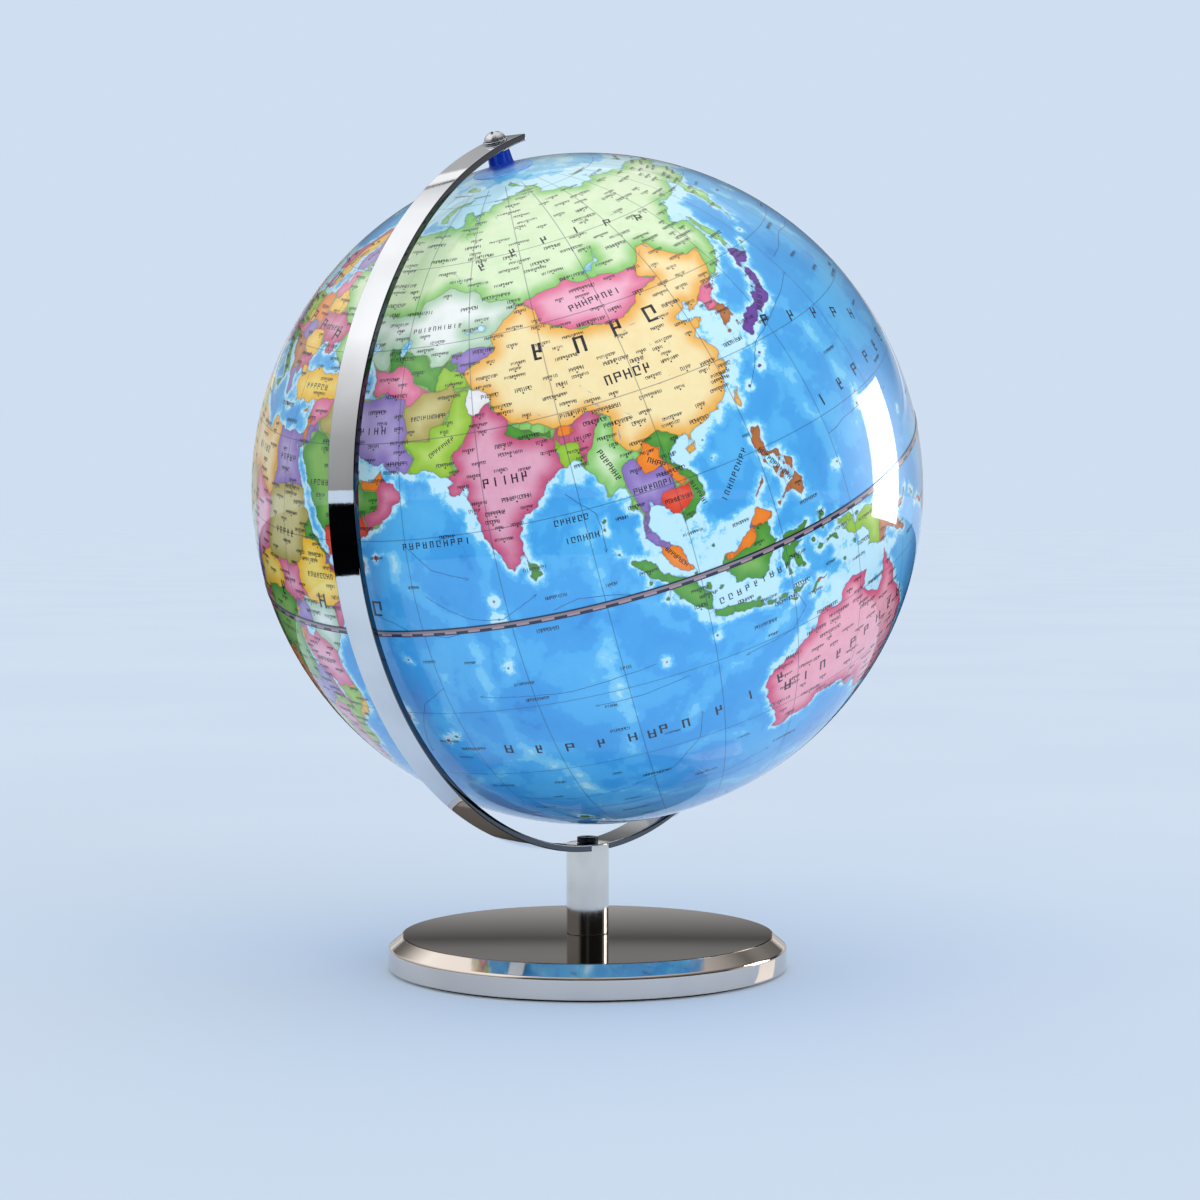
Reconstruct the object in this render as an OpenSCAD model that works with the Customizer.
// Desktop globe on a chrome stand.
// A hollow printed ball turns on a tilted rod that a flat half-ring band holds at both poles.
// The band sits in the slotted top of a short tube, which a bolt clamps to a weighted round base.
// Origin: centre of the base pad's underside. +Z is up, and the band bulges towards -X.

/* [Ball] */
// Outer diameter of the ball
ball_d = 250; // [180:1:340]
// Wall of each half shell
shell_wall = 2; // [1.4:0.1:3]
// Lean of the ball's axis from the vertical, in degrees
axis_tilt = 23.5; // [16:0.5:30]
// Width of the printed tape round the equator
tape_w = 2.4; // [1.6:0.1:5]
// Thickness of the printed tape
tape_t = 0.2; // [0.1:0.05:0.4]
// Height of the ring that couples the two half shells inside
coupler_h = 14; // [8:1:24]
// Thickness of the coupling ring
coupler_t = 1.6; // [1:0.1:3]

/* [Meridian band] */
// Gap from the ball to the inside of the band
band_gap = 7.5; // [5.5:0.5:12]
// Thickness of the band
band_t = 2.5; // [2:0.1:4]
// Width of the band
band_w = 12; // [10:0.1:14.5]
// Length of band past the pole screws
band_end = 10; // [7:0.5:16]

/* [Pole bearings] */
// Diameter of the rod from pole to pole
rod_d = 6; // [5:0.1:7.2]
// Diameter of a collar's neck where it leaves the flange
neck_d = 9; // [8.8:0.1:11]
// Diameter of the neck at its free end
neck_end_d = 8.2; // [8:0.1:8.7]
// Diameter of a collar's flange on the ball
flange_d = 22; // [16:0.5:30]
// Thickness of the flange
flange_t = 1.4; // [1:0.1:2.4]
// Diameter of the collar where it passes through the shell
spigot_d = 12; // [10:0.5:14]
// Outer diameter of the clip that locks a collar inside the ball
clip_d = 19; // [16:0.5:24]
// Thickness of that clip
clip_t = 0.8; // [0.5:0.1:1.5]
// Thickness of the nylon thrust washer between collar and band
thrust_t = 0.6; // [0.4:0.1:1]

/* [Pole screws] */
// Thread diameter of the pole screws
pole_screw_d = 4; // [3:0.5:4]
// Length of a pole screw under its head
pole_screw_len = 12; // [9:1:20]
// Diameter of the domed head
pole_head_d = 8; // [6:0.5:9]
// Height of the domed head
pole_head_h = 3.1; // [2:0.1:4]
// Outer diameter of the washer under the head
pole_washer_d = 9; // [7:0.5:10]
// Thickness of that washer
pole_washer_t = 0.8; // [0.5:0.1:1.2]

/* [Pillar] */
// Outer diameter of the tube
tube_d = 16; // [15:0.1:24]
// Wall of the tube
tube_wall = 1.2; // [0.8:0.1:2]
// Height of the tube from the base plate to the underside of the band
pillar_h = 31.5; // [30:0.5:60]
// Length of the threaded plug in the foot of the tube
foot_plug_h = 14; // [12:1:16]
// Length of the threaded plug in the head of the tube
head_plug_h = 12; // [11:1:14]
// Thread diameter of the screw through the band
band_screw_d = 4; // [3:0.5:5]
// Length of that screw under its head
band_screw_len = 10; // [8:1:12]
// Diameter of its flat head
band_head_d = 8; // [6.5:0.5:10]
// Height of its flat head
band_head_h = 2.2; // [1.6:0.1:3]

/* [Base] */
// Outer diameter of the base
base_d = 150; // [120:1:200]
// Height of the base from the pad's underside to the top plate
base_h = 13; // [12:0.1:20]
// Width of the bevel round the top, seen from above
bevel_w = 5.3; // [3:0.1:9]
// Drop of that bevel
bevel_h = 4.3; // [2:0.1:5]
// Wall of the pressed base shell
base_wall = 2; // [1.2:0.1:3]
// Width of the ledge that carries the top plate
ledge_w = 5; // [3:0.5:8]
// Thickness of the top plate
plate_t = 1.2; // [0.8:0.1:2]
// Thickness of the foam pad
pad_t = 1.5; // [1.2:0.1:3]
// Gap from the table to the edge of the base shell
rim_lift = 1; // [0.5:0.1:1.1]
// Thickness of the bottom cover
cover_t = 1; // [0.8:0.1:1.5]

/* [Base bolt] */
// Thread diameter of the bolt from the base into the pillar
bolt_d = 6; // [5:0.1:8]
// Reach of the bolt above the top plate
bolt_reach = 11; // [8:1:12]
// Width across the flats of its hexagon head
bolt_af = 10; // [8:0.5:13]
// Height of its head
bolt_head_h = 3; // [2:0.1:4]
// Outer diameter of the plain washer
bolt_washer_d = 14; // [12:0.5:18]
// Thickness of the plain washer
bolt_washer_t = 1; // [0.6:0.1:1.6]
// Thickness of the split spring washer
spring_washer_t = 1.4; // [1:0.1:2]
// Number of screws that hold the bottom cover
cover_screw_n = 4; // [3:1:8]
// Thread diameter of the cover screws
cover_screw_d = 3; // [2.5:0.5:4]

/* [Fits] */
// Running clearance on the radius, between rod and collar
run_gap = 0.06; // [0.02:0.01:0.1]
// End play of the ball between the thrust washers, at each pole
end_play = 0.15; // [0.05:0.05:0.4]
// Clearance on the radius where a screw enters its thread
thread_gap = 0.02; // [0.01:0.01:0.05]
// Clearance where pieces are pressed or glued together
seat_gap = 0.02; // [0.01:0.01:0.05]
// Clearance on the radius where a screw passes through a plate
hole_gap = 0.2; // [0.1:0.05:0.5]

/* [Hidden] */
$fn = 96;

ball_r = ball_d / 2;
shell_r = ball_r - shell_wall;
band_ri = ball_r + band_gap;
band_ro = band_ri + band_t;
band_over = band_end / band_ri * 180 / PI;

tube_r = tube_d / 2;
tube_bore_r = tube_r - tube_wall;
centre_z = base_h + pillar_h + band_ro;
pillar_top_z = centre_z - band_ri;

base_r = base_d / 2;
edge_cut = 0.5;
plate_gap = 0.3;
plate_seat_r = base_r - bevel_w;
plate_r = plate_seat_r - plate_gap;
plate_z = base_h - plate_t;
bevel_z = base_h - bevel_h;
ledge_t = 0.8;
ledge_z = plate_z - ledge_t;
ledge_r = plate_seat_r - ledge_w;
wall_ri = base_r - base_wall;
weight_gap = 0.2;
weight_r = ledge_r - 5 * weight_gap;
weight_boss_r = tube_r + 6;
cover_z = pad_t;
weight_z = cover_z + cover_t;
cover_r = wall_ri - seat_gap;
pad_r = cover_r - 1;
cover_screw_ring_r = weight_r - 8;
cover_screw_h = 4;
cover_hole_spare = 0.5;
cover_head_d = cover_screw_d * 1.9;
cover_head_h = 0.9;
pocket_relief = 0.1;

// The bolt's head and washers, stacked down from the metal that they clamp under the top plate
grip_h = 1.6;
washer_pocket_gap = 0.5;
spring_slit = 0.8;
washer_top_z = plate_z - grip_h;
spring_top_z = washer_top_z - bolt_washer_t;
bolt_head_top_z = spring_top_z - spring_washer_t;

// Heights along the ball's axis, from its centre. Flat pieces rest on round ones at their edges.
rod_end = sqrt(pow(band_ri, 2) - pow(rod_d / 2, 2)) - seat_gap;
thrust_r = neck_end_d / 2;
thrust_top = sqrt(pow(band_ri, 2) - pow(thrust_r, 2)) - seat_gap;
neck_top = thrust_top - thrust_t - end_play;
clip_top = sqrt(pow(shell_r, 2) - pow(clip_d / 2, 2)) - seat_gap;
spigot_past_clip = 1;
spigot_end = clip_top - clip_t - spigot_past_clip;
screw_seat = band_ro + pole_washer_t;
hole_spare = 2;
rod_hole_depth = pole_screw_len - pole_washer_t - band_t + hole_spare;
band_screw_seat = sqrt(pow(band_ri, 2) - pow(band_head_d / 2, 2)) - seat_gap;
shank_lap = 0.5;

// Cross recesses: width of a slot, and its length and depth as shares of the head
recess_w = 1.1;
recess_len_share = 0.52;
recess_depth_share = 0.55;
// A dome of this share of the radius that meets the rim leaves a short straight rim
dome_share = 1.05;

// ---- Shapes that several pieces share ----

// Places its children in the ball's own frame: origin at its centre, +Z to the north pole.
module on_axis() {
    translate([0, 0, centre_z]) rotate([0, -axis_tilt, 0]) children();
}

// Places its children at one pole, with +Z outwards along the axis.
module at_pole(north) {
    on_axis() rotate([north ? 0 : 180, 0, 0]) children();
}

// A round plate with a hole.
module ring(r_out, r_in, h) {
    difference() {
        cylinder(r = r_out, h = h);
        translate([0, 0, -1]) cylinder(r = r_in, h = h + 2);
    }
}

// Everything on the +Z side of a plane, wide enough for the ball.
module upper_half() {
    translate([-ball_d, -ball_d, 0]) cube([2 * ball_d, 2 * ball_d, ball_d]);
}

// A cross recess cut down from z = 0.
module cross_recess(length, width, depth) {
    for (turn = [0, 90])
        rotate([0, 0, turn]) translate([-length / 2, -width / 2, -depth]) cube([length, width, depth + 1]);
}

// A domed head standing on z = 0, with a cross recess.
module domed_head(d, h) {
    dome_r = dome_share * (pow(d / 2, 2) + pow(h, 2)) / (2 * h);
    difference() {
        intersection() {
            cylinder(d = d, h = h);
            translate([0, 0, h - dome_r]) sphere(r = dome_r);
        }
        translate([0, 0, h]) cross_recess(d * recess_len_share, recess_w, h * recess_depth_share);
    }
}

// Places its children at each screw of the bottom cover.
module at_cover_screws() {
    for (i = [0 : cover_screw_n - 1])
        rotate([0, 0, (i + 0.5) * 360 / cover_screw_n]) translate([cover_screw_ring_r, 0, 0]) children();
}

// ---- Ball ----

// Half of the hollow ball, open at its pole for the collar.
module half_shell() {
    difference() {
        intersection() {
            sphere(r = ball_r);
            upper_half();
        }
        sphere(r = shell_r);
        cylinder(d = spigot_d + 2 * seat_gap, h = ball_d);
    }
}

module north_shell() {
    color("#3f93dc") at_pole(true) half_shell();
}

module south_shell() {
    color("#3f93dc") at_pole(false) half_shell();
}

// Ring glued inside both halves across the seam, crowned to lie along the shells.
module shell_coupler() {
    crown_r = shell_r - seat_gap;
    edge_r = sqrt(pow(crown_r, 2) - pow(coupler_h / 2, 2));
    color("#e8e8e4") on_axis() rotate_extrude() polygon([
        [edge_r - coupler_t, -coupler_h / 2],
        [edge_r, -coupler_h / 2],
        [crown_r, 0],
        [edge_r, coupler_h / 2],
        [edge_r - coupler_t, coupler_h / 2]
    ]);
}

module equator_tape() {
    color("#26384f") on_axis() translate([0, 0, -tape_w / 2])
        ring(ball_r + tape_t, ball_r + seat_gap, tape_w);
}

// ---- Pole bearings ----

// Flanged bush: spigot through the shell, flange on it, neck up to the thrust washer.
module collar() {
    difference() {
        union() {
            translate([0, 0, spigot_end]) cylinder(d = spigot_d, h = ball_r + flange_t / 2 - spigot_end);
            intersection() {
                difference() {
                    sphere(r = ball_r + flange_t);
                    sphere(r = ball_r + seat_gap);
                }
                cylinder(d = flange_d, h = ball_d);
            }
            translate([0, 0, ball_r]) cylinder(d1 = neck_d, d2 = neck_end_d, h = neck_top - ball_r);
        }
        cylinder(r = rod_d / 2 + run_gap, h = ball_d);
    }
}

module north_collar() {
    color("#1d4fb4") at_pole(true) collar();
}

module south_collar() {
    color("#1d4fb4") at_pole(false) collar();
}

// Push-on ring that grips the spigot and bears on the inside of the shell.
module collar_clip() {
    translate([0, 0, clip_top - clip_t]) ring(clip_d / 2, spigot_d / 2 + seat_gap, clip_t);
}

module north_collar_clip() {
    color("silver") at_pole(true) collar_clip();
}

module south_collar_clip() {
    color("silver") at_pole(false) collar_clip();
}

// Straight rod with a tapped hole in each end.
module axle_rod() {
    color("silver") on_axis() difference() {
        cylinder(d = rod_d, h = 2 * rod_end, center = true);
        for (side = [0, 180])
            rotate([side, 0, 0]) translate([0, 0, rod_end - rod_hole_depth])
                cylinder(r = pole_screw_d / 2 + thread_gap, h = rod_hole_depth + 1);
    }
}

module thrust_washer() {
    translate([0, 0, thrust_top - thrust_t]) ring(thrust_r, rod_d / 2 + 2 * run_gap, thrust_t);
}

module north_thrust_washer() {
    color("white") at_pole(true) thrust_washer();
}

module south_thrust_washer() {
    color("white") at_pole(false) thrust_washer();
}

// ---- Pole screws ----

module pole_screw() {
    translate([0, 0, screw_seat]) {
        domed_head(pole_head_d, pole_head_h);
        translate([0, 0, -pole_screw_len]) cylinder(d = pole_screw_d, h = pole_screw_len + shank_lap);
    }
}

module north_pole_screw() {
    color("#d8dadd") at_pole(true) pole_screw();
}

module south_pole_screw() {
    color("#d8dadd") at_pole(false) pole_screw();
}

module screw_washer() {
    translate([0, 0, band_ro]) ring(pole_washer_d / 2, pole_screw_d / 2 + hole_gap, pole_washer_t);
}

module north_screw_washer() {
    color("#c4c6ca") at_pole(true) screw_washer();
}

module south_screw_washer() {
    color("#c4c6ca") at_pole(false) screw_washer();
}

// ---- Meridian band ----

// Flat strip bent round the ball from pole to pole, drilled for the two pole screws and the pillar.
module meridian_band() {
    color("#d8dadd") difference() {
        on_axis() rotate([90, 0, 0]) rotate([0, 0, 90 - band_over])
            rotate_extrude(angle = 180 + 2 * band_over)
                translate([band_ri, -band_w / 2]) square([band_t, band_w]);
        for (north = [true, false])
            at_pole(north) translate([0, 0, band_ri - 2]) cylinder(r = pole_screw_d / 2 + hole_gap, h = band_t + 4);
        translate([0, 0, centre_z - band_ro - 2]) cylinder(r = band_screw_d / 2 + hole_gap, h = band_t + 4);
    }
}

// Low-headed screw from inside the band down into the pillar.
module band_screw() {
    color("#3a3c40") translate([0, 0, centre_z - band_screw_seat]) {
        difference() {
            cylinder(d = band_head_d, h = band_head_h);
            translate([0, 0, band_head_h])
                cross_recess(band_head_d * recess_len_share, recess_w, band_head_h * recess_depth_share);
        }
        translate([0, 0, -band_screw_len]) cylinder(d = band_screw_d, h = band_screw_len + shank_lap);
    }
}

// ---- Pillar ----

// The space that the band takes in the head of the pillar.
module band_slot() {
    translate([0, 0, centre_z]) rotate([90, 0, 0])
        cylinder(r = band_ro + seat_gap, h = band_w + 2 * seat_gap, center = true, $fn = 256);
}

module pillar_tube() {
    color("#d8dadd") difference() {
        translate([0, 0, base_h]) ring(tube_r, tube_bore_r, pillar_top_z - base_h);
        band_slot();
    }
}

module pillar_head_plug() {
    color("#9a9da2") difference() {
        translate([0, 0, centre_z - band_ro - head_plug_h])
            ring(tube_bore_r - seat_gap, band_screw_d / 2 + thread_gap, head_plug_h + band_ro);
        band_slot();
        translate([-tube_d, -tube_d, pillar_top_z]) cube([2 * tube_d, 2 * tube_d, band_ro + 1]);
    }
}

module pillar_foot_plug() {
    color("#9a9da2") translate([0, 0, base_h])
        ring(tube_bore_r - seat_gap, bolt_d / 2 + thread_gap, foot_plug_h);
}

// ---- Base ----

// Pressed shell: straight side, bevel, seat for the plate and a thin ledge under it.
module base_shell() {
    slope = bevel_h / bevel_w;
    inner_bevel_z = ledge_z - slope * (wall_ri - plate_seat_r);
    color("#d8dadd") rotate_extrude() polygon([
        [wall_ri, rim_lift],
        [base_r - edge_cut, rim_lift],
        [base_r, rim_lift + edge_cut],
        [base_r, bevel_z],
        [plate_seat_r, base_h],
        [plate_seat_r, plate_z],
        [ledge_r, plate_z],
        [ledge_r, ledge_z],
        [plate_seat_r, ledge_z],
        [wall_ri, inner_bevel_z]
    ]);
}

module base_plate() {
    color("#6f6c68") translate([0, 0, plate_z]) ring(plate_r, bolt_d / 2 + hole_gap, plate_t);
}

// Cast disc with a raised boss under the pillar and a pocket for the bolt's head.
module base_weight() {
    color("#4a4a4c") difference() {
        union() {
            translate([0, 0, weight_z]) cylinder(r = weight_r, h = ledge_z - weight_gap - weight_z);
            translate([0, 0, weight_z]) cylinder(r = weight_boss_r, h = plate_z - weight_z);
        }
        cylinder(r = bolt_d / 2 + hole_gap, h = base_h);
        cylinder(r = bolt_washer_d / 2 + washer_pocket_gap, h = washer_top_z);
        at_cover_screws() cylinder(r = cover_screw_d / 2 + thread_gap, h = cover_z + cover_screw_h + cover_hole_spare);
    }
}

module base_cover() {
    color("#8d9095") difference() {
        translate([0, 0, cover_z]) cylinder(r = cover_r, h = cover_t);
        at_cover_screws() cylinder(r = cover_screw_d / 2 + hole_gap, h = base_h);
    }
}

// Low flat-headed screws up through the cover into the weight.
module cover_screws() {
    color("silver") at_cover_screws() translate([0, 0, cover_z]) {
        translate([0, 0, -cover_head_h]) cylinder(d = cover_head_d, h = cover_head_h);
        translate([0, 0, -cover_head_h / 2]) cylinder(d = cover_screw_d, h = cover_screw_h + cover_head_h / 2);
    }
}

// Foam disc with a shallow pocket over each screw head.
module base_pad() {
    color("#1c1c1e") difference() {
        cylinder(r = pad_r, h = pad_t);
        at_cover_screws() translate([0, 0, cover_z - cover_head_h - pocket_relief])
            cylinder(d = cover_head_d + 2 * hole_gap, h = pad_t);
    }
}

// ---- Base bolt ----

module base_bolt() {
    color("silver") {
        translate([0, 0, bolt_head_top_z - bolt_head_h])
            cylinder(d = bolt_af / cos(30), h = bolt_head_h, $fn = 6);
        translate([0, 0, bolt_head_top_z - shank_lap])
            cylinder(d = bolt_d, h = base_h + bolt_reach - bolt_head_top_z + shank_lap);
    }
}

module bolt_washer() {
    color("silver") translate([0, 0, spring_top_z])
        ring(bolt_washer_d / 2, bolt_d / 2 + hole_gap, bolt_washer_t);
}

// Split ring, pressed flat.
module bolt_spring_washer() {
    color("#70737a") difference() {
        translate([0, 0, bolt_head_top_z]) ring(bolt_af / 2, bolt_d / 2 + hole_gap, spring_washer_t);
        translate([0, -spring_slit / 2, 0]) cube([bolt_af, spring_slit, base_h]);
    }
}

north_shell();
south_shell();
shell_coupler();
equator_tape();
north_collar();
south_collar();
north_collar_clip();
south_collar_clip();
axle_rod();
north_thrust_washer();
south_thrust_washer();
north_pole_screw();
south_pole_screw();
north_screw_washer();
south_screw_washer();
meridian_band();
band_screw();
pillar_tube();
pillar_head_plug();
pillar_foot_plug();
base_shell();
base_plate();
base_weight();
base_cover();
base_pad();
cover_screws();
base_bolt();
bolt_washer();
bolt_spring_washer();
